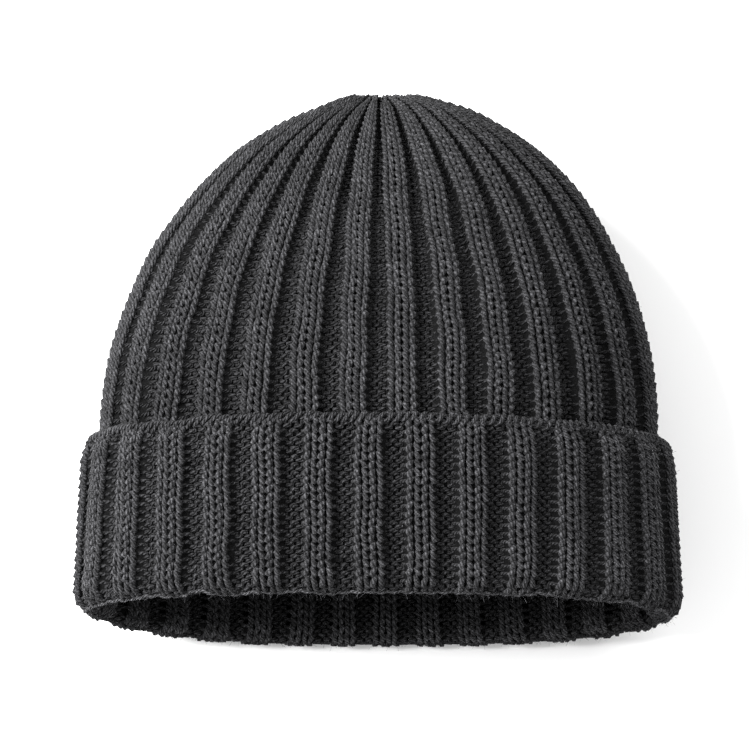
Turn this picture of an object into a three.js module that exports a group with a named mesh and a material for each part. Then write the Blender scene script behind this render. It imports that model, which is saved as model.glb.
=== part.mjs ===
// A chunky ribbed knit beanie with a turned-up cuff, lying on its back and keeping its rounded form.
// Millimetres, +Z up. +Y runs from the opening to the gathered top, and the front of the hat faces up.
// The origin is at the middle of the bounding box's bottom, on the surface that the hat lies on.
import * as THREE from 'three';

// Driving sizes
const RIB_COUNT = 30;
const WIDTH = 225;              // across the hem, from rib crest to rib crest
const LENGTH = 208;             // from the back of the hem to the gathered top
const WIDEST_HEIGHT = 42;       // the hat's widest line above the surface it lies on
const FRONT_RISE = 60;          // from the widest line up to the crown's crest, just above the cuff
const FRONT_SAG = 14;           // how much lower the front is at the hem
const FABRIC_THICKNESS = 3.4;   // one layer of the knit, apart from its ribs
const RIB_DEPTH = 2.8;          // from a rib's crest to the valley beside it
const TOP_RIB_DEPTH = 1.3;      // the same where the ribs meet at the gathered top
const CUFF_HEIGHT = 63.5;       // from the hem to the cuff's top edge
const CUFF_THICKNESS = 5.5;     // from a rib's crest to the inner face of the turned-up layer
const CUFF_FLARE = 3.2;         // how much wider the hat is at the hem than at the cuff's top edge, each side
const LAYER_GAP = 0.4;          // between the cuff and the layer inside it
const FOLD_HEIGHT = 6;          // height of the rolled fold below the inner band's lower edge
const SEAM_GAP = 0.4;           // between the inner band and the crown above it, behind the cuff's top edge
const HEM_SETBACK = 28;         // how far the front of the hem lies back from its back
const HEM_SKEW = 1.1;           // how much lower the hem is on the right side, and higher on the left
const DOME_START = 84.5;        // from the back of the hem to where the crown starts to round in
const GATHER_DEPTH = 4;         // how far the gathered top is drawn in
const GATHER_REACH = 0.16;      // how far out from the top that shows, as a share of the dome's width
const REST_PRESS = 0.6;         // how far the knit is pressed flat where it lies on the surface

// Shape of the section across the hat: 2 is an ellipse, and more is squarer
const FRONT_SQUARENESS = 2;
const HEM_SQUARENESS = 2.35;
const BACK_SQUARENESS = 2.8;
const HEM_SLANT = 1.12;         // 1 is a straight slant from back to front; more keeps the front level

// Where each layer's ribs lie round the hat. phase is in ribs from the middle of the front, and crowding
// is how much closer they are on the back than on the front.
const CROWN_RIBS = { phase: 0.487, crowding: 1.06 };
const CUFF_RIBS = { phase: -0.172, crowding: 1 };

// One rib. low and top are places across it as shares of its pitch, below the dome and at the gathered
// top. rise is 1 on the crest and 0 in the valley.
const RIB_POINTS = [
  { low: -0.25, top: -0.33, rise: 0.86 },
  { low: 0.00, top: 0.00, rise: 1 },
  { low: 0.25, top: 0.33, rise: 0.86 },
  { low: 0.41, top: 0.44, rise: 0 },
  { low: 0.59, top: 0.56, rise: 0 },
];

// The crown's outline beside a round dome. along is a share of the dome's length, and the others are
// shares of what a round dome has there.
const DOME_SECTIONS = [
  { along: 0.00, left: 1.00, right: 1.00, front: 1.00, back: 1.00 },
  { along: 0.26, left: 0.985, right: 1.00, front: 1.00, back: 1.04 },
  { along: 0.40, left: 0.97, right: 1.00, front: 1.00, back: 1.08 },
  { along: 0.55, left: 0.96, right: 1.00, front: 1.00, back: 1.12 },
  { along: 0.69, left: 0.93, right: 1.01, front: 1.01, back: 1.17 },
  { along: 0.83, left: 0.90, right: 1.02, front: 1.02, back: 1.21 },
  { along: 0.91, left: 0.84, right: 1.02, front: 1.03, back: 1.22 },
  { along: 0.96, left: 0.75, right: 1.08, front: 1.03, back: 1.20 },
  { along: 1.00, left: 0.58, right: 1.02, front: 1.03, back: 1.15 },
];

// The rows of points of the inner band and of the crown, which goes on above it. cuff is the height as a
// share of the cuff's, dome is how far the row lies from there to the gathered top, and inside marks the
// rows that the inner face has too.
const BAND_ROWS = [
  { cuff: FOLD_HEIGHT / CUFF_HEIGHT, dome: 0, inside: true },
  { cuff: 0.50, dome: 0, inside: true },
  { cuff: 0.97, dome: 0, inside: true },
];
const CROWN_ROWS = [
  { cuff: 0.97 + SEAM_GAP / CUFF_HEIGHT, dome: 0, inside: true },
  { cuff: 1, dome: 0.08, inside: false },
  { cuff: 1, dome: 0.17, inside: true },
  { cuff: 1, dome: 0.27, inside: false },
  { cuff: 1, dome: 0.37, inside: true },
  { cuff: 1, dome: 0.47, inside: false },
  { cuff: 1, dome: 0.57, inside: true },
  { cuff: 1, dome: 0.66, inside: false },
  { cuff: 1, dome: 0.75, inside: true },
  { cuff: 1, dome: 0.83, inside: false },
  { cuff: 1, dome: 0.90, inside: true },
  { cuff: 1, dome: 0.95, inside: false },
  { cuff: 1, dome: 0.98, inside: true },
];

// The cuff's section, from the outer face over its top edge, down its inner face and round the fold.
// out is a share of the way from the crown's crests (0) to the cuff's (1), with less than 0 inside the
// crown. cuff and fold are heights as shares of the cuff's and the fold's, and rib is how much of the rib
// depth shows.
const INNER_FACE = LAYER_GAP / (CUFF_THICKNESS + LAYER_GAP);
const CUFF_SECTION = [
  { out: 1.00, cuff: 0.50, fold: 0, rib: 1 },
  { out: 1.00, cuff: 0.97, fold: 0, rib: 1 },
  { out: 0.84, cuff: 0.993, fold: 0, rib: 0.6 },
  { out: 0.50, cuff: 1.00, fold: 0, rib: 0.2 },
  { out: INNER_FACE, cuff: 0.97, fold: 0, rib: 0 },
  { out: INNER_FACE, cuff: 0.50, fold: 0, rib: 0 },
  { out: INNER_FACE, cuff: 0, fold: 0.93, rib: 0 },
  { out: -0.96, cuff: 0, fold: 0.93, rib: 0 },
  { out: -0.88, cuff: 0, fold: 0.40, rib: 0 },
  { out: -0.48, cuff: 0, fold: 0.06, rib: 0.2 },
  { out: 0.33, cuff: 0, fold: 0, rib: 0.4 },
  { out: 0.84, cuff: 0, fold: 0.30, rib: 0.7 },
  { out: 1.00, cuff: 0, fold: 1.00, rib: 1 },
];

// Sizes that follow from those above
const LAYERS = CUFF_THICKNESS + LAYER_GAP;
const CROWN_HALF_WIDTH = WIDTH / 2 - LAYERS - CUFF_FLARE;
const CROWN_BACK_DEPTH = WIDEST_HEIGHT + REST_PRESS - LAYERS;
const DOME_START_Y = DOME_START - LENGTH / 2;
const DOME_LENGTH = LENGTH - DOME_START;
const DOME_PATH = DOME_LENGTH * Math.PI / 2;
const COLUMNS = RIB_COUNT * RIB_POINTS.length;

const { clamp, lerp, smoothstep, euclideanModulo } = THREE.MathUtils;
const signedPower = (value, power) => Math.sign(value) * Math.abs(value) ** power;

function domeShare(column, along) {
  const next = Math.max(1, DOME_SECTIONS.findIndex((row) => row.along >= along));
  const [a, b] = [DOME_SECTIONS[next - 1], DOME_SECTIONS[next]];
  return lerp(a[column], b[column], (along - a.along) / (b.along - a.along));
}

// The hem's place along Y. angle is 0 at the middle of the front and positive to the right.
function hemY(angle) {
  const backness = ((1 - Math.cos(angle)) / 2) ** HEM_SLANT;
  return -LENGTH / 2 + HEM_SETBACK * (1 - backness) - HEM_SKEW * Math.sin(angle) * Math.abs(Math.sin(angle));
}

const topHeight = (angle) => DOME_START_Y + DOME_PATH - hemY(angle);

// A point of the hat's surface. height is the distance above the hem, along Y up to the dome and then
// round it. out is the distance outside the crown's rib crests.
function surfacePoint(angle, height, out) {
  const path = hemY(angle) + height - DOME_START_Y;
  const turn = clamp(path / DOME_PATH, 0, 1) * Math.PI / 2;
  const [shrink, along] = [Math.cos(turn), Math.sin(turn)];
  const openness = clamp(1 - height / CUFF_HEIGHT, 0, 1);
  const side = Math.sin(angle) < 0 ? 'left' : 'right';
  const width = (CROWN_HALF_WIDTH + CUFF_FLARE * openness + out) * domeShare(side, along) * shrink;

  const onBack = Math.cos(angle) < 0;
  const settled = LAYERS * smoothstep(height, CUFF_HEIGHT, CUFF_HEIGHT * 1.5);
  const depth = onBack
    ? (CROWN_BACK_DEPTH + settled + out) * domeShare('back', along) * shrink
    : (FRONT_RISE - FRONT_SAG * openness + out) * domeShare('front', along) * shrink;
  const power = 2 / (onBack ? BACK_SQUARENESS : lerp(FRONT_SQUARENESS, HEM_SQUARENESS, openness));

  const gather = GATHER_DEPTH * (1 - smoothstep(shrink, 0, GATHER_REACH));
  const y = path < 0 ? DOME_START_Y + path : DOME_START_Y + (DOME_LENGTH + out) * along - gather;
  return new THREE.Vector3(
    width * signedPower(Math.sin(angle), power),
    y,
    Math.max(0, WIDEST_HEIGHT + depth * signedPower(Math.cos(angle), power)),
  );
}

// The angles at which ribs lie, evenly along the front and evenly along the back
function ribAngles({ phase, crowding }, height, out) {
  const steps = 1440;
  const angleOf = (i) => (i / steps - 0.5) * 2 * Math.PI;
  const lengths = [0];
  let last = surfacePoint(angleOf(0), height, out);
  for (let i = 1; i <= steps; i++) {
    const point = surfacePoint(angleOf(i), height, out);
    const weight = Math.cos(angleOf(i)) < 0 ? crowding : 1;
    lengths.push(lengths[i - 1] + weight * Math.hypot(point.x - last.x, point.z - last.z));
    last = point;
  }
  const total = lengths[steps];
  return (rib) => {
    const wanted = euclideanModulo(lengths[steps / 2] + ((rib + phase) / RIB_COUNT) * total, total);
    const next = Math.max(1, lengths.findIndex((length) => length >= wanted));
    return angleOf(next - 1 + (wanted - lengths[next - 1]) / (lengths[next] - lengths[next - 1]));
  };
}

// One ring of points round the hat. toTop is how far it lies from the given height to the gathered top,
// and outOf gives the distance outside the crown's crests from the depth of the rib's relief.
function ring(angleAt, height, toTop, outOf) {
  const narrowing = smoothstep(toTop, 0, 1);
  return Array.from({ length: COLUMNS }, (_, index) => {
    const point = RIB_POINTS[index % RIB_POINTS.length];
    const angle = angleAt(Math.floor(index / RIB_POINTS.length) + lerp(point.low, point.top, narrowing));
    const relief = (1 - point.rise) * lerp(RIB_DEPTH, TOP_RIB_DEPTH, narrowing);
    return surfacePoint(angle, lerp(height, topHeight(angle), toTop), outOf(relief));
  });
}

// A closed surface from rings of points. Where looped is true the last ring joins the first, and
// elsewhere each of the two closes on a point at its middle.
function ringSolid(rings, looped) {
  const points = rings.flat();
  const triangles = [];
  const corner = (r, c) => (r % rings.length) * COLUMNS + (c % COLUMNS);
  for (let r = 0; r < (looped ? rings.length : rings.length - 1); r++) {
    for (let c = 0; c < COLUMNS; c++) {
      triangles.push(corner(r, c), corner(r, c + 1), corner(r + 1, c + 1));
      triangles.push(corner(r, c), corner(r + 1, c + 1), corner(r + 1, c));
    }
  }
  if (!looped) {
    for (const r of [0, rings.length - 1]) {
      const middle = rings[r].reduce((sum, point) => sum.add(point), new THREE.Vector3());
      const pole = points.push(middle.divideScalar(COLUMNS)) - 1;
      for (let c = 0; c < COLUMNS; c++) {
        const [a, b] = r === 0 ? [c + 1, c] : [c, c + 1];
        triangles.push(pole, corner(r, a), corner(r, b));
      }
    }
  }
  const geometry = new THREE.BufferGeometry().setFromPoints(points);
  geometry.setIndex(triangles);
  geometry.computeVertexNormals();
  return geometry;
}

// A layer's inner wall from its top down to its lower edge, then its outer wall back up. The layer is
// open at its top, as the inner band is, or gathered shut there, as the crown is.
function layerGeometry(rows, open) {
  const angleAt = ribAngles(CROWN_RIBS, CUFF_HEIGHT, 0);
  const wall = (wallRows, outOf) =>
    wallRows.map((row) => ring(angleAt, row.cuff * CUFF_HEIGHT, row.dome, outOf));
  const insideRows = rows.filter((row) => row.inside).reverse();
  const inner = wall(insideRows, (relief) => -FABRIC_THICKNESS - relief);
  const outer = wall(rows, (relief) => -relief);
  return ringSolid([...inner, ...outer], open);
}

// One closed section carried round the hat
function cuffGeometry() {
  const angleAt = ribAngles(CUFF_RIBS, CUFF_HEIGHT / 2, LAYERS);
  const rings = CUFF_SECTION.map(({ out, cuff, fold, rib }) => {
    const height = cuff * CUFF_HEIGHT + fold * FOLD_HEIGHT;
    return ring(angleAt, height, 0, (relief) => out * LAYERS - relief * rib);
  });
  return ringSolid(rings, true);
}

function yarnMesh(name, geometry) {
  const mesh = new THREE.Mesh(geometry, new THREE.MeshStandardMaterial({ color: 0x3c3c3f, roughness: 0.95 }));
  mesh.name = name;
  return mesh;
}

const beanie = new THREE.Group();
beanie.name = 'beanie';
beanie.add(
  yarnMesh('crown', layerGeometry(CROWN_ROWS, false)),
  yarnMesh('inner_band', layerGeometry(BAND_ROWS, true)),
  yarnMesh('cuff', cuffGeometry()),
);

// The box's middle is a little off the hat's own, because the ribs fall differently on each side.
const box = new THREE.Box3().setFromObject(beanie);
const middle = box.getCenter(new THREE.Vector3());
beanie.position.set(-middle.x, -middle.y, -box.min.z);

export default beanie;
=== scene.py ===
"""A chunky ribbed knit beanie with a turned-up cuff, lying on its back, in real yarn courses.

The hat is one knitted tube. Its rows are numbered from the cuff's top edge, down the cuff's outside,
round the fold, up inside the cuff and over the crown to the gathered top. A place round the hat is counted
in ribs from the middle of the front. Lengths are in millimetres until the meshes are made.
"""

import math

import bpy
import numpy as np
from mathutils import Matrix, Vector


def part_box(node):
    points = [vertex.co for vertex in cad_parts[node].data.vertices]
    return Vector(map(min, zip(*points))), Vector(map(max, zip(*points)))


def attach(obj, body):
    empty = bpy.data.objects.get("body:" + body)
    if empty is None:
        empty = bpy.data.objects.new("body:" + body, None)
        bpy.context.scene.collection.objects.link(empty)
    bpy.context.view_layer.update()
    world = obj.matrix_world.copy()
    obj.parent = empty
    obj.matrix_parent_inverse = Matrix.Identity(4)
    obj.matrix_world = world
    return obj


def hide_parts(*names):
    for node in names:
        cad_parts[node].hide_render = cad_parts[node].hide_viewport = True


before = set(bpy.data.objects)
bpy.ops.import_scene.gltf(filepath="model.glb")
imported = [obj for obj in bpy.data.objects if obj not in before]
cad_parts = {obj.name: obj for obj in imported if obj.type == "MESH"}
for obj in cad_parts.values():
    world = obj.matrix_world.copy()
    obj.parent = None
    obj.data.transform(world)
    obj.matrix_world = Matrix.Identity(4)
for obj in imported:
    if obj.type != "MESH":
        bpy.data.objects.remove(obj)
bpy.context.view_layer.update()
MM = 0.001
rng = np.random.default_rng(7)

# Sizes of the hat. They follow its solids, but the ribs are deeper, as ribs of round yarn are. CUFF_OUTSIDE
# is how far the cuff's crests stand outside the crown's.
RIBS = 30
WIDTH = 225.0
LENGTH = 208.0
WIDEST_HEIGHT = 42.0
FRONT_RISE = 60.0
FRONT_SAG = 14.0
RIB_DEPTH = 4.0
TOP_RIB_DEPTH = 3.8
CUFF_HEIGHT = 63.5
CUFF_OUTSIDE = 5.9
CUFF_FLARE = 3.2
FOLD_HEIGHT = 6.0
HEM_SETBACK = 26.2
HEM_SKEW = 1.1
HEM_SLANT = 1.12
DOME_START = 84.5
GATHER_DEPTH = 4.0
GATHER_REACH = 0.16
GATHER_RIM = 0.35
REST_PRESS = 0.6
FRONT_SQUARE = 2.0
HEM_SQUARE = 2.35
BACK_SQUARE = 2.8

# Where each layer's ribs lie: how far round they start, in ribs, and how much closer they are on the back
CROWN_RIBS = {"phase": 0.487, "crowding": 1.14}
CUFF_RIBS = {"phase": -0.18, "crowding": 1.04}

# The crown's outline beside a round dome, as shares of what a round dome has there
DOME = {
    "along": (0.00, 0.26, 0.40, 0.55, 0.69, 0.83, 0.91, 0.96, 1.00),
    "left": (1.00, 0.985, 0.97, 0.96, 0.93, 0.90, 0.84, 0.75, 0.58),
    "right": (1.00, 1.00, 1.00, 1.00, 1.01, 1.02, 1.02, 1.08, 1.02),
    "front": (1.00, 1.00, 1.00, 1.00, 1.01, 1.02, 1.03, 1.03, 1.03),
    "back": (1.00, 1.04, 1.08, 1.12, 1.17, 1.21, 1.22, 1.20, 1.15),
}

# The yarn, and how far it stands out of the solids' crests
YARN_RADIUS = 1.08
YARN_SIDES = 5
LOOP_DEPTH = 0.8
CUFF_PROUD = 0.9
CROWN_PROUD = 0.5

# The rows. From TURNED_ROWS on, the crown's face is the one that shows.
CUFF_ROWS = 43
CROWN_ROWS = 47
LAST_ROW = CUFF_ROWS + CROWN_ROWS
TOP_MARGIN = 1.3
TURNED_ROWS = CUFF_ROWS - 4

# The curled edge, the fold and how flat the ribs lie where the fabric bends
CURL_RADIUS = 2.2
CURL_RISE = 0.8
FOLD_RADIUS = 4.6
EDGE_EVENING = 0.85
BACK_FOLD_EVENING = 0.82
EDGE_ROWS = (0.8, 2.8)

# One stitch of a knit column: across is a share of the column's width, up is in rows, out is a share of
# the loop's depth and thick is a share of the yarn's radius. The first point is the link between two
# stitches. PURL_THICK less thick is how thick the yarn is in a stitch that shows its back.
STITCH = (
    {"across": 0.00, "up": 0.04, "out": -1.00, "thick": 0.72},
    {"across": 0.25, "up": 0.06, "out": -0.62, "thick": 0.80},
    {"across": 0.34, "up": 0.50, "out": 0.42, "thick": 0.92},
    {"across": 0.175, "up": 1.14, "out": 1.05, "thick": 1.15},
    {"across": 0.27, "up": 1.58, "out": -1.00, "thick": 0.76},
    {"across": 0.73, "up": 1.58, "out": -1.00, "thick": 0.76},
    {"across": 0.825, "up": 1.14, "out": 1.05, "thick": 1.15},
    {"across": 0.66, "up": 0.50, "out": 0.42, "thick": 0.92},
    {"across": 0.75, "up": 0.06, "out": -0.62, "thick": 0.80},
)
PURL_THICK = 1.62
ACROSS, UP, OUT, THICK = (np.array([point[key] for point in STITCH]) for key in STITCH[0])

# How a rib's columns change towards the gathered top. width is how wide the dome still is there, as a
# share of its widest; below it a rib has that many knit and purl columns. The width is taken at
# DECREASE_ANGLE from the middle of the front, in radians. The knit columns take a share of the rib.
DECREASES = (
    {"width": 1.10, "knit": 2, "purl": 2},
    {"width": 0.70, "knit": 2, "purl": 1},
    {"width": 0.42, "knit": 2, "purl": 0},
    {"width": 0.20, "knit": 1, "purl": 0},
)
KNIT_SHARE = {"width": (0.0, 0.2, 0.42, 0.7, 1.0), "share": (0.74, 0.74, 0.74, 0.67, 0.58)}
CUFF_KNIT_SHARE = 0.43
DECREASE_ANGLE = 0.8

# Smooth unevenness of the knitting: its size, how many waves make it up, the fewest rows and ribs that one
# of them spans, and the seed of its random numbers
WAVES = {
    "place": {"size": 0.018, "count": 6, "rows": 9, "ribs": 2, "seed": 11},
    "row": {"size": 0.10, "count": 6, "rows": 14, "ribs": 3, "seed": 12},
    "thickness": {"size": 0.05, "count": 8, "rows": 1.3, "ribs": 1, "seed": 13},
    "shade": {"size": 0.16, "count": 10, "rows": 2.2, "ribs": 1, "seed": 14},
    "ridge": {"size": 0.22, "count": 8, "rows": 9, "ribs": 1, "seed": 15},
    "pinch": {"size": 0.75, "count": 8, "rows": 6, "ribs": 1, "seed": 16},
    "edge": {"size": 0.16, "count": 8, "rows": 9, "ribs": 1, "seed": 17},
    "cord_shade": {"size": 0.12, "count": 8, "rows": 9, "ribs": 1, "seed": 19},
    "cord_turn": {"size": 0.6, "count": 8, "rows": 9, "ribs": 1, "seed": 21},
    "gathering": {"size": 0.35, "count": 8, "rows": 9, "ribs": 3, "seed": 23},
}

# Random unevenness from one point of the yarn to the next, in ribs, rows, millimetres and shade
JITTER = {"place": 0.009, "row": 0.038, "depth": 0.04, "shade": 0.06}

# How light the yarn is painted: middle is its plain tone, loop is painted shade that adds to it where a loop
# stands out and takes from it where a loop lies deep, and the rest are shares of it. rib_middle and rib are
# painted shade that darkens the valleys between ribs; cuff and beyond_cuff paint the cuff lighter and the
# inside and crown darker, painted light and shade for how the lamps fall on them.
TONE_AND_PAINTED_SHADE = {"middle": 0.87, "loop": 0.27, "rib_middle": 0.79, "rib": 0.21, "cuff": 1.03, "beyond_cuff": 0.84}

# The slit where the gathered top is drawn together, and the notch that it makes in the outline. Each fades
# in between two distances below the top. The slit never closes more than a share of the hat's height there.
SLIT = {"x": 1.2, "width": 1.0, "depth": 3.4, "fade": (10.0, 4.0), "most": 0.6}
NOTCH = {"width": 2.4, "depth": 0.25, "fade": (9.0, 3.0)}

# The yarn that isn't knitted in rows: the cord along the cuff's edge, the strands that gather the top and
# the ridge on the fold. turns and steps are for each rib.
CORD = {"turns": 3, "steps": 32, "row": 0.62, "rise": 0.34, "depth": 0.75, "reach": 0.85, "radius": 0.82}
GATHERING = {"steps": 4, "rows": (LAST_ROW + 0.25, LAST_ROW + 0.8), "radius": 0.75, "shade": 0.8}
# The ridge's shade paints it much lighter than the yarn, a painted highlight along the fold's edge
RIDGE = {"steps": 16, "fold_share": 0.46, "sunk": 0.35, "proud": 1.3, "radius": 0.56, "shade": 1.9}

# The sheet inside the fabric, painted dark as painted shade for the depth between stitches, and the least
# height of anything above the floor
SHADE_SHEET = {"half": 0.12, "steps": 8, "rows_each": 1.5, "shade": 0.25}
FLOOR_GAP = 0.05

CROWN_HALF_WIDTH = WIDTH / 2 - CUFF_OUTSIDE - CUFF_FLARE
CROWN_BACK_DEPTH = WIDEST_HEIGHT + REST_PRESS - CUFF_OUTSIDE
DOME_START_Y = DOME_START - LENGTH / 2
DOME_LENGTH = LENGTH - DOME_START
DOME_PATH = DOME_LENGTH * math.pi / 2
TOP_Y = DOME_START_Y + DOME_LENGTH


def smoothstep(x, low, high):
    t = np.clip((x - low) / (high - low), 0, 1)
    return t * t * (3 - 2 * t)


def bell(x, width):
    return np.exp(-((x / width) ** 2))


def signed_power(value, power):
    return np.sign(value) * np.abs(value) ** power


def unit(vectors):
    return vectors / np.linalg.norm(vectors, axis=1, keepdims=True)


def hem_y(angle):
    backness = ((1 - np.cos(angle)) / 2) ** HEM_SLANT
    skew = HEM_SKEW * np.sin(angle) * np.abs(np.sin(angle))
    return -LENGTH / 2 + HEM_SETBACK * (1 - backness) - skew


def surface(angle, height, out):
    """Points of the hat. height is above the hem, and out is outside the crown's rib crests."""
    path = hem_y(angle) + height - DOME_START_Y
    turn = np.clip(path / DOME_PATH, 0, 1) * math.pi / 2
    shrink = np.cos(turn)
    along = np.sin(turn)
    openness = np.clip(1 - height / CUFF_HEIGHT, 0, 1)
    share = {side: np.interp(along, DOME["along"], DOME[side]) for side in DOME}
    half = CROWN_HALF_WIDTH + CUFF_FLARE * openness + out
    width = half * np.where(np.sin(angle) < 0, share["left"], share["right"]) * shrink
    settled = CUFF_OUTSIDE * smoothstep(height, CUFF_HEIGHT, CUFF_HEIGHT * 1.5)
    back = (CROWN_BACK_DEPTH + settled + out) * share["back"] * shrink
    front = (FRONT_RISE - FRONT_SAG * openness + out) * share["front"] * shrink
    on_back = np.cos(angle) < 0
    square = np.where(on_back, BACK_SQUARE, FRONT_SQUARE + (HEM_SQUARE - FRONT_SQUARE) * openness)
    gather = GATHER_DEPTH * (1 - smoothstep(shrink, 0, GATHER_REACH))
    over = DOME_START_Y + (DOME_LENGTH + out) * along - gather
    x = width * signed_power(np.sin(angle), 2 / square)
    y = np.where(path < 0, DOME_START_Y + path, over)
    z = WIDEST_HEIGHT + np.where(on_back, back, front) * signed_power(np.cos(angle), 2 / square)
    return np.stack(np.broadcast_arrays(x, y, z), -1)


def rib_angles(ribs, height, out):
    """A function from a place round the hat to its angle."""
    steps = 1440
    angles = (np.arange(steps + 1) / steps - 0.5) * 2 * math.pi
    points = surface(angles, height, out)
    length = np.hypot(np.diff(points[:, 0]), np.diff(points[:, 2]))
    length = length * np.where(np.cos(angles[1:]) < 0, ribs["crowding"], 1)
    total = length.sum()
    places = np.concatenate([[0], np.cumsum(length)]) / total * RIBS
    places = places - places[steps // 2] - ribs["phase"]
    turns = np.arange(-2, 3)
    all_places = np.concatenate([places[:-1] + turn * RIBS for turn in turns])
    all_angles = np.concatenate([angles[:-1] + turn * 2 * math.pi for turn in turns])
    return lambda place: np.interp(place, all_places, all_angles)


crown_angle = rib_angles(CROWN_RIBS, CUFF_HEIGHT, 0)
CUFF_LEVELS = np.linspace(0, CUFF_HEIGHT, 6)
cuff_level_angles = [rib_angles(CUFF_RIBS, height, CUFF_OUTSIDE) for height in CUFF_LEVELS]


def cuff_angle(place, height):
    """The angle of a place on the cuff. Its ribs stay evenly spaced where the section grows squarer."""
    place, height = np.broadcast_arrays(place, height)
    level = np.clip(height / CUFF_HEIGHT, 0, 1) * (len(CUFF_LEVELS) - 1)
    low = np.minimum(level.astype(int), len(CUFF_LEVELS) - 2)
    angles = np.stack([angle_of(place) for angle_of in cuff_level_angles])
    a = np.take_along_axis(angles, low[None], 0)[0]
    b = np.take_along_axis(angles, low[None] + 1, 0)[0]
    return a + (b - a) * (level - low)


# Lengths along the fabric. Its middle runs halfway between the crests and the valleys.
RIB_HALF = RIB_DEPTH / 2
HALF_FABRIC = LOOP_DEPTH * 0.9 + YARN_RADIUS
CROWN_OUT = CROWN_PROUD - HALF_FABRIC - RIB_HALF
CUFF_OUT = CUFF_PROUD + CUFF_OUTSIDE - HALF_FABRIC - RIB_HALF
CURL_HEIGHT = CUFF_HEIGHT - HALF_FABRIC - CURL_RADIUS + CURL_RISE
FOLD_WIDTH = (CUFF_OUT - CROWN_OUT) / 2
CURL_LENGTH = CURL_RADIUS * math.pi / 2
CUFF_LENGTH = CURL_HEIGHT - FOLD_HEIGHT
FOLD_START = CURL_LENGTH + CUFF_LENGTH
FOLD_LENGTH = math.pi * (FOLD_RADIUS + FOLD_WIDTH) / 2
FOLD_END = FOLD_START + FOLD_LENGTH
INSIDE_LENGTH = CUFF_HEIGHT - FOLD_HEIGHT
ROW = (FOLD_END + INSIDE_LENGTH) / CUFF_ROWS
FOLD_ROWS = int(round(FOLD_END / ROW))

# True lengths up the crown, so that its rows lie evenly along each rib
METER_ANGLES = np.linspace(-math.pi, math.pi, 241)
METER_SHARES = np.linspace(0, 1, 161)
top_height = DOME_START_Y + DOME_PATH - hem_y(METER_ANGLES)
meter_heights = CUFF_HEIGHT + (top_height[:, None] - CUFF_HEIGHT) * METER_SHARES[None, :]
meter = surface(METER_ANGLES[:, None], meter_heights, CROWN_OUT)
meter_length = np.linalg.norm(np.diff(meter, axis=1), axis=2).cumsum(1)
meter_length = np.concatenate([np.zeros((len(METER_ANGLES), 1)), meter_length], 1)
meter_length = meter_length / meter_length[:, -1:]
even_heights = np.array([
    np.interp(METER_SHARES, lengths, heights) for lengths, heights in zip(meter_length, meter_heights)
])


def crown_height(angle, share):
    """The height above the hem at a share of the way up the crown."""
    wrapped = (angle + math.pi) % (2 * math.pi)
    a = wrapped / (2 * math.pi) * (len(METER_ANGLES) - 1)
    b = np.clip(share, 0, 1) * (len(METER_SHARES) - 1)
    i = np.clip(a.astype(int), 0, len(METER_ANGLES) - 2)
    j = np.clip(b.astype(int), 0, len(METER_SHARES) - 2)
    fa = a - i
    fb = b - j
    low = even_heights[i, j] * (1 - fb) + even_heights[i, j + 1] * fb
    high = even_heights[i + 1, j] * (1 - fb) + even_heights[i + 1, j + 1] * fb
    return low * (1 - fa) + high * fa


def crown_share(row):
    """How far up the crown a row is. It is negative inside the cuff."""
    return (row - CUFF_ROWS) / (CROWN_ROWS + TOP_MARGIN)


def dome_width(angle, height):
    """How wide the dome still is at a height, as a share of its widest."""
    path = hem_y(angle) + height - DOME_START_Y
    return np.cos(np.clip(path / DOME_PATH, 0, 1) * math.pi / 2)


def waves(kind, place, row):
    """Smooth unevenness that joins up round the hat."""
    wave = WAVES[kind]
    local = np.random.default_rng(wave["seed"])
    most_turns = RIBS // wave["ribs"]
    total = np.zeros(np.broadcast(place, row).shape)
    for _ in range(wave["count"]):
        turns = local.integers(-most_turns, most_turns + 1)
        speed = local.uniform(-1, 1) / wave["rows"]
        total += np.sin(2 * math.pi * (turns * place / RIBS + speed * row + local.uniform()))
    return wave["size"] * (total / math.sqrt(wave["count"]))


def section(row):
    """The fabric's middle in a section: its height, its place outside the crown's crests, the direction of
    its face as up and out, and how far it is turned in a curl or a fold."""
    t = row * ROW
    in_curl = t < CURL_LENGTH
    in_cuff = t < FOLD_START
    in_fold = t < FOLD_END
    curl = np.clip(1 - t / CURL_LENGTH, 0, 1) * math.pi / 2
    fold = np.clip((t - FOLD_START) / FOLD_LENGTH, 0, 1) * math.pi
    turn = np.where(in_cuff, curl, fold)
    bend = np.where(in_fold, np.sin(turn), 0.0)
    up = np.where(in_cuff, -bend, bend)
    out = np.where(in_fold, -np.cos(turn), 1.0)
    height = np.where(in_fold, FOLD_HEIGHT - FOLD_RADIUS * np.sin(fold), FOLD_HEIGHT + t - FOLD_END)
    height = np.where(in_cuff, CURL_HEIGHT - (t - CURL_LENGTH), height)
    height = np.where(in_curl, CURL_HEIGHT + CURL_RADIUS * np.sin(curl), height)
    base = np.where(in_fold, (CUFF_OUT + CROWN_OUT) / 2 + FOLD_WIDTH * np.cos(fold), CROWN_OUT)
    base = np.where(in_cuff, CUFF_OUT, base)
    base = np.where(in_curl, CUFF_OUT - CURL_RADIUS * (1 - np.cos(curl)), base)
    return height, base, up, out, bend


def draw_together(points):
    """Opens the slit and its notch in the gathered top."""
    from_slit = points[..., 0] - SLIT["x"]
    start, end = NOTCH["fade"]
    dip = NOTCH["depth"] * bell(from_slit, NOTCH["width"])
    points[..., 1] -= dip * smoothstep(points[..., 1], TOP_Y - start, TOP_Y - end)
    start, end = SLIT["fade"]
    deep = SLIT["depth"] * bell(from_slit, SLIT["width"])
    deep = deep * smoothstep(points[..., 1], TOP_Y - start, TOP_Y - end)
    from_middle = points[..., 2] - WIDEST_HEIGHT
    points[..., 2] -= np.minimum(deep, SLIT["most"] * np.abs(from_middle)) * np.sign(from_middle)


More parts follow.
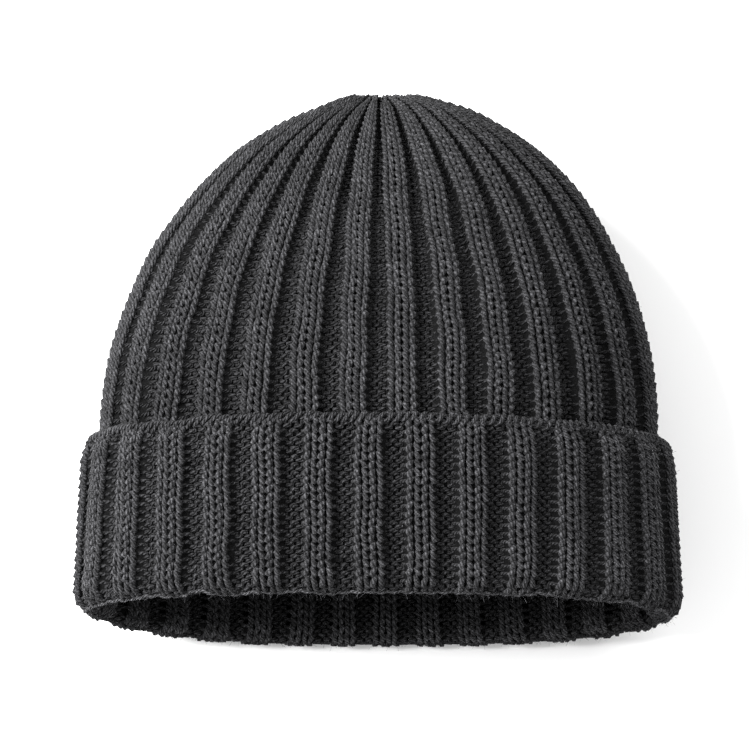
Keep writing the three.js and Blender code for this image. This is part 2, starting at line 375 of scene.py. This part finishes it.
def fabric(place, row, relief, depth):
    """Points of the fabric. relief is 1 on a crown rib and -1 between two, and depth is measured towards the
    face that shows on the crown. The cuff's ribs lie where the crown has its valleys, because the two show
    opposite faces."""
    height, base, up, out, bend = section(row)
    to_crown = smoothstep(row * ROW, FOLD_END, FOLD_END + INSIDE_LENGTH)
    angle = cuff_angle(place + 0.5, height) * (1 - to_crown) + crown_angle(place) * to_crown
    share = crown_share(row)
    height = np.where(share > 0, crown_height(angle, share), height)
    rib_half = RIB_HALF + (TOP_RIB_DEPTH / 2 - RIB_HALF) * smoothstep(share, 0.3, 1)
    near_edge = 1 - smoothstep(row, *EDGE_ROWS)
    backness = smoothstep(-np.cos(angle), -0.1, 0.3) * np.where(row * ROW < FOLD_START, 0.0, 1.0)
    evening = EDGE_EVENING + (BACK_FOLD_EVENING - EDGE_EVENING) * backness
    evened = 1 - evening * np.maximum(near_edge, bend)
    pinched = waves("pinch", place, row) * smoothstep(share, 0.82, 0.95)
    d = relief * rib_half * evened + depth + pinched
    points = surface(angle, height + up * d, base + out * d)
    draw_together(points)
    return points


def faced(place, row, relief, depth, side):
    """Points of the fabric, and the directions that lead out of it on one side."""
    points = fabric(place, row, relief, depth)
    return points, unit(fabric(place, row, relief, depth + side * 0.5) - points)


def rib_layout(row):
    """The columns of one rib in a row: their left edges, widths and signs, and the knit share."""
    share = max(0.0, crown_share(row))
    height = crown_height(np.array(DECREASE_ANGLE), np.array(share))
    width = float(dome_width(DECREASE_ANGLE, height))
    knit = float(np.interp(width, KNIT_SHARE["width"], KNIT_SHARE["share"]))
    cuffness = float(1 - smoothstep(row, FOLD_ROWS, CUFF_ROWS))
    knit = knit + (CUFF_KNIT_SHARE - knit) * cuffness
    counts = [step for step in DECREASES if width < step["width"]][-1]
    columns = []
    for i in range(counts["knit"]):
        columns.append((-knit / 2 + knit * i / counts["knit"], knit / counts["knit"], 1.0))
    for i in range(counts["purl"]):
        columns.append((knit / 2 + (1 - knit) * i / counts["purl"], (1 - knit) / counts["purl"], -1.0))
    return columns, knit


def relief_at(place, knit):
    """1 on a crown rib and -1 in the valley between two."""
    from_crest = np.abs((place + 0.5) % 1 - 0.5)
    edge = knit / 2
    sunk = 0.5 - edge
    crest = 1 - 0.2 * (from_crest / edge) ** 2 - 0.2 * bell(from_crest, 0.05)
    valley = 0.2 * ((0.5 - from_crest) / sunk) ** 2 - 1 if sunk > 0.01 else -1
    turned = smoothstep(from_crest, edge * 0.72, edge + sunk * 0.28)
    return crest * (1 - turned) + valley * turned


def row_side(row):
    """1 where the crown's face shows, and -1 below it, where the other face shows."""
    return 1 if row > TURNED_ROWS else -1


def rib_loops(columns, side):
    """The yarn across one rib: its places, depths and thicknesses. Purl columns are knit ones seen from
    behind."""
    places, depths, thicks = [], [], []
    for i, (left, width, sign) in enumerate(columns):
        before_left, before_width, before_sign = columns[i - 1]
        before_right = before_left + before_width - (1 if i == 0 else 0)
        place = left + ACROSS * width
        place[0] = (left + before_right) / 2
        depth = OUT * sign
        depth[0] = -(sign + before_sign) / 2
        places.append(place)
        depths.append(depth)
        thicks.append(THICK if sign == side else PURL_THICK - THICK)
    return np.concatenate(places), np.concatenate(depths), np.concatenate(thicks)


def course(row):
    """The yarn of one row, as a closed line round the hat: its points, normals, radius and shade."""
    columns, knit = rib_layout(row)
    side = row_side(row)
    rib_place, rib_depth, rib_thick = rib_loops(columns, side)
    place = (np.arange(RIBS)[:, None] + rib_place[None, :]).ravel()
    depth = np.tile(rib_depth, RIBS)
    rows = row + np.tile(UP, len(columns) * RIBS)
    relief = relief_at(place, knit)
    # Painted shade: darker where a loop lies deep and in the valleys between ribs, and painted light and
    # shade that makes the cuff lighter and the rest darker
    painted_shade = TONE_AND_PAINTED_SHADE["middle"] + TONE_AND_PAINTED_SHADE["loop"] * depth * side
    painted_shade = painted_shade * (TONE_AND_PAINTED_SHADE["rib_middle"] + TONE_AND_PAINTED_SHADE["rib"] * relief * side)
    painted_shade = painted_shade * TONE_AND_PAINTED_SHADE["cuff" if row < FOLD_ROWS else "beyond_cuff"]

    count = len(place)
    place = place + waves("place", place, rows) + rng.normal(0, JITTER["place"], count)
    rows = rows + waves("row", place, rows) + rng.normal(0, JITTER["row"], count)
    depth = depth * LOOP_DEPTH + rng.normal(0, JITTER["depth"], count)
    near_edge = max(0.0, 1 - row / 5)
    rows = rows + near_edge * (waves("edge", place, 0 * rows) + 0.10 * np.sin(2 * math.pi * place))
    points = fabric(place, rows, relief, depth)
    normals = unit(fabric(place, rows, relief, depth + 0.5) - fabric(place, rows, relief, depth - 0.5))

    first_of_rib = points[:: len(rib_place)]
    pitch = np.linalg.norm(first_of_rib - np.roll(first_of_rib, 1, 0), axis=1)
    widest = max(width for _, width, _ in columns)
    room = np.repeat(pitch, len(rib_place)) * widest * 0.5
    uneven = 1 + waves("thickness", place, rows)
    radius = np.minimum(YARN_RADIUS, 0.15 + room * 0.42) * np.tile(rib_thick, RIBS) * uneven
    shade = painted_shade * (1 + waves("shade", place, rows) + rng.normal(0, JITTER["shade"], count))
    return points, normals, radius, shade


def edge_cord(offset):
    """One of the two strands that wind round each other along the cuff's top edge."""
    count = RIBS * CORD["steps"]
    place = np.arange(count) / CORD["steps"]
    flat = 0 * place
    turn = 2 * math.pi * (CORD["turns"] * place + offset) + waves("cord_turn", place, flat)
    row = CORD["row"] + CORD["rise"] * np.cos(turn) + waves("edge", place, flat)
    depth = -CORD["depth"] - CORD["reach"] * np.sin(turn) + rng.normal(0, 0.06, count)
    points, normals = faced(place, row, flat, depth, -1)
    shade = 1.0 - 0.15 * np.sin(turn) + waves("cord_shade", place, flat)
    return points, normals, np.full(count, CORD["radius"]), shade


def gathering_strand(row):
    """A ring of the yarn that draws the last stitches together at the top."""
    count = RIBS * GATHERING["steps"]
    place = np.arange(count) / GATHERING["steps"]
    flat = 0 * place
    points, normals = faced(place, flat + row, flat, waves("gathering", place, flat), 1)
    return points, normals, np.full(count, GATHERING["radius"]), np.full(count, GATHERING["shade"])


def hem_ridge():
    """The strand that stands proud along the lowest line of the fold, most of all on the front. It is
    painted much lighter than the yarn, a painted highlight along the fold's edge.
    """
    count = RIBS * RIDGE["steps"]
    place = np.arange(count) / RIDGE["steps"]
    flat = 0 * place
    facing = smoothstep(np.cos(cuff_angle(place + 0.5, flat)), -0.5, 0.2)
    rib_wave = np.cos(2 * math.pi * (place + 0.1))
    stitch_wave = facing * np.cos(8 * math.pi * place)
    fold_share = RIDGE["fold_share"] - 0.06 * facing
    row = (FOLD_START + FOLD_LENGTH * fold_share) / ROW + waves("ridge", place, flat) - 0.07 * rib_wave
    depth = -RIDGE["sunk"] - RIDGE["proud"] * facing - 0.2 * rib_wave - 0.26 * stitch_wave
    depth = depth + rng.normal(0, 0.07, count)
    relief = relief_at(place, CUFF_KNIT_SHARE) * (1 - 0.3 * facing)
    points, normals = faced(place, row, relief, depth, -1)
    radius = RIDGE["radius"] + rng.normal(0, 0.05, count)
    return points, normals, radius, RIDGE["shade"] + rng.normal(0, 0.4, count)


def shift_to_solids():
    """How far the yarn moves to lie where the solids do, which are centred by their box."""
    angles = np.linspace(-math.pi, math.pi, 721)
    crest_x = surface(angles, FOLD_HEIGHT, CUFF_OUTSIDE)[:, 0]
    cuff_low, cuff_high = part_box("cuff")
    _, crown_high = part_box("crown")
    middle = (cuff_low.x + cuff_high.x) / 2 / MM
    rim_y = TOP_Y - GATHER_DEPTH * GATHER_RIM
    return np.array([middle - (crest_x.min() + crest_x.max()) / 2, crown_high.y / MM - rim_y, 0.0])


SHIFT = shift_to_solids()


def laid_down(points):
    """Moves points to where the solids lie, and keeps them above the floor."""
    points = points + SHIFT
    points[..., 2] = np.maximum(points[..., 2], FLOOR_GAP)
    return points


def math_node(tree, operation, *values):
    """A math node's output. A value is a number, or the output that it comes from."""
    node = tree.nodes.new("ShaderNodeMath")
    node.operation = operation
    for socket, value in zip(node.inputs, values):
        if isinstance(value, bpy.types.NodeSocket):
            tree.links.new(value, socket)
        else:
            socket.default_value = value
    return node.outputs[0]


def noise_node(tree, place, scale, detail):
    node = tree.nodes.new("ShaderNodeTexNoise")
    node.inputs["Scale"].default_value = scale
    node.inputs["Detail"].default_value = detail
    tree.links.new(place, node.inputs["Vector"])
    return node.outputs["Fac"]


def tone_node(tree, value, low, high, darkest, lightest):
    """Spreads a value between low and high over the tones from darkest to lightest."""
    node = tree.nodes.new("ShaderNodeMapRange")
    node.inputs["From Min"].default_value = low
    node.inputs["From Max"].default_value = high
    node.inputs["To Min"].default_value = darkest
    node.inputs["To Max"].default_value = lightest
    tree.links.new(value, node.inputs["Value"])
    return node.outputs[0]


def make_yarn_material():
    """Charcoal yarn of four plies, with light and dark fibres, painted shade in the ply grooves and painted
    highlights on the plies. The shade attribute sets how light it is, with each piece's painted shade and
    highlights.
    """
    material = bpy.data.materials.new("yarn")
    material.use_nodes = True
    tree = material.node_tree
    shader = tree.nodes["Principled BSDF"]
    shader.inputs["Roughness"].default_value = 0.9
    shader.inputs["Specular IOR Level"].default_value = 0.08
    shader.inputs["Sheen Weight"].default_value = 0.02
    shader.inputs["Sheen Roughness"].default_value = 0.5

    # U runs along the yarn in millimetres and V once round it. A ply winds round the yarn in 6.4 mm.
    uv = tree.nodes.new("ShaderNodeUVMap")
    uv.uv_map = "yarn"
    split = tree.nodes.new("ShaderNodeSeparateXYZ")
    tree.links.new(uv.outputs["UV"], split.inputs[0])
    plies = 4.0
    along = math_node(tree, "MULTIPLY", split.outputs["X"], plies / 6.4)
    around = math_node(tree, "MULTIPLY_ADD", split.outputs["Y"], plies, along)
    ply = math_node(tree, "PINGPONG", around, 0.5)

    coordinates = tree.nodes.new("ShaderNodeTexCoord").outputs["Object"]
    fibre = noise_node(tree, coordinates, 1800, 3)
    blotch = noise_node(tree, coordinates, 420, 2)
    fibres = tone_node(tree, fibre, 0.34, 0.72, 0.45, 2.9)
    # Painted shade in the grooves between the plies and painted highlights on their crests
    painted_ply_shading = tone_node(tree, ply, 0, 0.5, 0.38, 1.95)
    heather = tone_node(tree, blotch, 0.35, 0.7, 0.8, 1.3)
    marl_and_painted_ply_shading = math_node(tree, "MULTIPLY", math_node(tree, "MULTIPLY", fibres, painted_ply_shading), heather)
    shade = tree.nodes.new("ShaderNodeAttribute")
    shade.attribute_name = "shade"
    colour = tree.nodes.new("ShaderNodeMix")
    colour.data_type = "RGBA"
    colour.blend_type = "MULTIPLY"
    colour.inputs["Factor"].default_value = 1
    colour.inputs["A"].default_value = (0.0182, 0.0182, 0.0193, 1)
    tree.links.new(math_node(tree, "MULTIPLY", marl_and_painted_ply_shading, shade.outputs["Fac"]), colour.inputs["B"])
    tree.links.new(colour.outputs["Result"], shader.inputs["Base Color"])

    bump = tree.nodes.new("ShaderNodeBump")
    bump.inputs["Strength"].default_value = 1.0
    bump.inputs["Distance"].default_value = 0.0013
    tree.links.new(math_node(tree, "MULTIPLY_ADD", fibre, 0.35, ply), bump.inputs["Height"])
    tree.links.new(bump.outputs["Normal"], shader.inputs["Normal"])
    return material


yarn_material = make_yarn_material()


def tube(points, normals, radius):
    """A closed tube along a closed line: its rings of vertices, and its length up to each of them."""
    tangent = unit(np.roll(points, -1, 0) - np.roll(points, 1, 0))
    side = unit(np.cross(tangent, normals))
    front = np.cross(side, tangent)
    turn = np.arange(YARN_SIDES) / YARN_SIDES * 2 * math.pi
    ring = side[:, None, :] * np.sin(turn)[None, :, None] + front[:, None, :] * np.cos(turn)[None, :, None]
    vertices = points[:, None, :] + ring * radius[:, None, None]
    length = np.concatenate([[0], np.linalg.norm(np.roll(points, -1, 0) - points, axis=1).cumsum()])
    return vertices, length


def quads_of(count, sides):
    """The faces of a closed tube, as places in its grid of rings."""
    i = np.arange(count)[:, None]
    k = np.arange(sides)[None, :]
    i2 = (i + 1) % count
    k2 = (k + 1) % sides
    corners = np.broadcast_arrays(i * sides + k, i2 * sides + k, i2 * sides + k2, i * sides + k2)
    return np.stack(corners, -1).reshape(-1, 4)


def add_piece(name, vertices, faces, uvs, shade, node):
    """Makes a mesh of four-sided faces from millimetres, in the yarn's finish."""
    mesh = bpy.data.meshes.new(name)
    mesh.vertices.add(len(vertices))
    mesh.vertices.foreach_set("co", (vertices * MM).ravel())
    mesh.loops.add(faces.size)
    mesh.loops.foreach_set("vertex_index", faces.ravel())
    mesh.polygons.add(len(faces))
    mesh.polygons.foreach_set("loop_start", np.arange(len(faces)) * 4)
    mesh.uv_layers.new(name="yarn")
    mesh.uv_layers["yarn"].data.foreach_set("uv", uvs.ravel())
    mesh.update(calc_edges=True)
    mesh.polygons.foreach_set("use_smooth", np.ones(len(faces), bool))
    mesh.attributes.new("shade", "FLOAT", "POINT").data.foreach_set("value", shade)
    mesh.materials.append(yarn_material)
    piece = bpy.data.objects.new(name, mesh)
    bpy.context.scene.collection.objects.link(piece)
    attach(piece, "root")
    if node:
        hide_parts(node)


def yarn_piece(name, lines, node):
    """Joins closed lines of yarn into one mesh."""
    vertices, faces, uvs, shades = [], [], [], []
    start = 0
    k = np.arange(YARN_SIDES)[None, :]
    for points, normals, radius, shade in lines:
        ring, length = tube(points, normals, radius)
        count = len(points)
        faces.append(quads_of(count, YARN_SIDES) + start)
        u = [length[:-1, None] + 0 * k, length[1:, None] + 0 * k]
        v = [k / YARN_SIDES + 0 * length[1:, None], (k + 1) / YARN_SIDES + 0 * length[1:, None]]
        corner_u = np.stack([u[0], u[1], u[1], u[0]], -1) + rng.uniform(0, 90)
        corner_v = np.stack([v[0], v[0], v[1], v[1]], -1)
        uvs.append(np.stack([corner_u, corner_v], -1).reshape(-1, 2))
        vertices.append(laid_down(ring).reshape(-1, 3))
        shades.append(np.repeat(shade, YARN_SIDES))
        start += count * YARN_SIDES
    joined = [np.concatenate(part) for part in (vertices, faces, uvs, shades)]
    add_piece(name, *joined, node)


def knit_rows(name, node, first, last, most):
    """Knits the rows from first to last, in bands of at most so many rows."""
    bands = math.ceil((last - first) / most)
    edges = [first + round((last - first) * i / bands) for i in range(bands + 1)]
    for i in range(bands):
        yarn_piece(f"{name}_{i + 1}", [course(row) for row in range(edges[i], edges[i + 1])], node)


def shade_sheet(name, node, first, last):
    """A thin sheet in the middle of the fabric, so that no light comes through between stitches. It is
    painted dark, painted shade for the depth of the fabric.
    """
    across = RIBS * SHADE_SHEET["steps"]
    place = np.arange(across) / SHADE_SHEET["steps"]
    rows = np.linspace(first, last, int((last - first) / SHADE_SHEET["rows_each"]) + 1)
    sheets = []
    for depth in (SHADE_SHEET["half"], -SHADE_SHEET["half"]):
        grid = []
        for row in rows:
            relief = relief_at(place, rib_layout(row)[1])
            grid.append(fabric(place, np.full(across, row), relief, np.full(across, depth)))
        sheets.append(np.array(grid))
    loop = laid_down(np.concatenate([sheets[0], sheets[1][::-1]]))
    faces = quads_of(len(loop), across)
    # Painted shade: the sheet is painted far darker than the yarn
    shade = np.full(loop.size // 3, SHADE_SHEET["shade"])
    add_piece(name, loop.reshape(-1, 3), faces, np.zeros((faces.size, 2)), shade, node)


def fuzz(name, lines, count, longest, tone):
    """Loose fibres that stand out of the yarn, as narrow curved ribbons."""
    points = np.concatenate([line[0] for line in lines])
    normals = np.concatenate([line[1] * np.sign(line[3])[:, None] for line in lines])
    tangents = np.concatenate([np.roll(line[0], -1, 0) - line[0] for line in lines])
    pick = rng.integers(0, len(points), count)
    normal = normals[pick]
    side = np.cross(normal, unit(tangents[pick]))
    face = unit(rng.uniform(-1, 1, (count, 3)))
    lean = normal * rng.uniform(-1, 1, (count, 1)) + side * rng.uniform(-1, 1, (count, 1)) + 0.6 * face
    lean = unit(lean)
    bend = np.cross(lean, face)
    length = rng.uniform(1.2, longest, (count, 1))
    curve = length * rng.uniform(0.1, 0.6, (count, 1))
    steps = np.array([0.0, 0.5, 1.0])[None, :, None]
    line = points[pick][:, None] + lean[:, None] * length[:, None] * steps
    line = line + bend[:, None] * curve[:, None] * steps ** 2
    half_width = face[:, None] * 0.045
    ribbon = laid_down(np.stack([line + half_width, line - half_width], 2))
    quad = np.array([[0, 2, 3, 1], [2, 4, 5, 3]])
    faces = (np.arange(count)[:, None, None] * 6 + quad[None]).reshape(-1, 4)
    add_piece(name, ribbon.reshape(-1, 3), faces, np.zeros((faces.size, 2)), np.full(count * 6, tone), None)


knit_rows("knit_cuff", "cuff", 0, FOLD_ROWS, 15)
knit_rows("knit_inside", "inner_band", FOLD_ROWS, CUFF_ROWS, 15)
knit_rows("knit_crown", "crown", CUFF_ROWS, LAST_ROW, 16)
yarn_piece("gathering", [gathering_strand(row) for row in GATHERING["rows"]], None)
yarn_piece("edge_cord", [edge_cord(0.0), edge_cord(0.5)], None)
yarn_piece("hem_ridge", [hem_ridge()], None)
shade_sheet("cuff_shade_sheet", "cuff", 0.5, FOLD_ROWS)
shade_sheet("crown_shade_sheet", "crown", TURNED_ROWS, LAST_ROW + TOP_MARGIN - 0.02)
fuzz("fuzz_cuff", [course(row) for row in range(0, FOLD_ROWS + 3)], 2400, 2.6, 3.4)
fuzz("fuzz_crown", [course(row) for row in range(CUFF_ROWS, LAST_ROW, 2)], 2600, 2.6, 3.4)
fuzz("fuzz_edge", [edge_cord(0.0), edge_cord(0.5)], 600, 2.6, 3.4)
# The hem's fibres are painted lighter than the rest, a painted highlight that keeps them showing in the
# shade under the fold
fuzz("fuzz_hem", [hem_ridge()], 1500, 3.4, 6.0)


def add_floor():
    """A matt white floor."""
    bpy.ops.object.select_all(action="DESELECT")
    bpy.ops.mesh.primitive_plane_add(size=10, location=(0, 0, 0))
    floor = bpy.context.active_object
    floor.name = "floor"
    material = bpy.data.materials.new("floor")
    material.use_nodes = True
    shader = material.node_tree.nodes["Principled BSDF"]
    shader.inputs["Base Color"].default_value = (0.96, 0.96, 0.96, 1)
    shader.inputs["Roughness"].default_value = 1.0
    shader.inputs["Specular IOR Level"].default_value = 0.0
    floor.data.materials.append(material)


def area_light(name, place, size, power):
    """A round lamp that points at the hat."""
    data = bpy.data.lights.new(name, "AREA")
    data.shape = "DISK"
    data.size = size
    data.energy = power
    light = bpy.data.objects.new(name, data)
    bpy.context.scene.collection.objects.link(light)
    light.location = place
    aim = Vector((0, 0, 0.05)) - Vector(place)
    light.rotation_euler = aim.to_track_quat("-Z", "Y").to_euler()


def add_world():
    """White light from all round."""
    world = bpy.context.scene.world or bpy.data.worlds.new("world")
    bpy.context.scene.world = world
    world.use_nodes = True
    background = world.node_tree.nodes["Background"]
    background.inputs["Color"].default_value = (1, 1, 1, 1)
    background.inputs["Strength"].default_value = 0.76


def add_camera():
    """The camera looks straight down."""
    data = bpy.data.cameras.new("camera")
    data.sensor_width = 36
    data.lens = 150.2
    data.clip_start = 0.05
    data.clip_end = 20
    camera = bpy.data.objects.new("camera", data)
    bpy.context.scene.collection.objects.link(camera)
    camera.location = (-0.0013, 0, 1.2)
    bpy.context.scene.camera = camera


add_floor()
area_light("key", (-1.14, 0.52, 1.06), 1.05, 104)
area_light("top", (0.75, 1.15, 1.3), 1.5, 24)
add_world()
add_camera()
bpy.context.scene.view_settings.view_transform = "Standard"
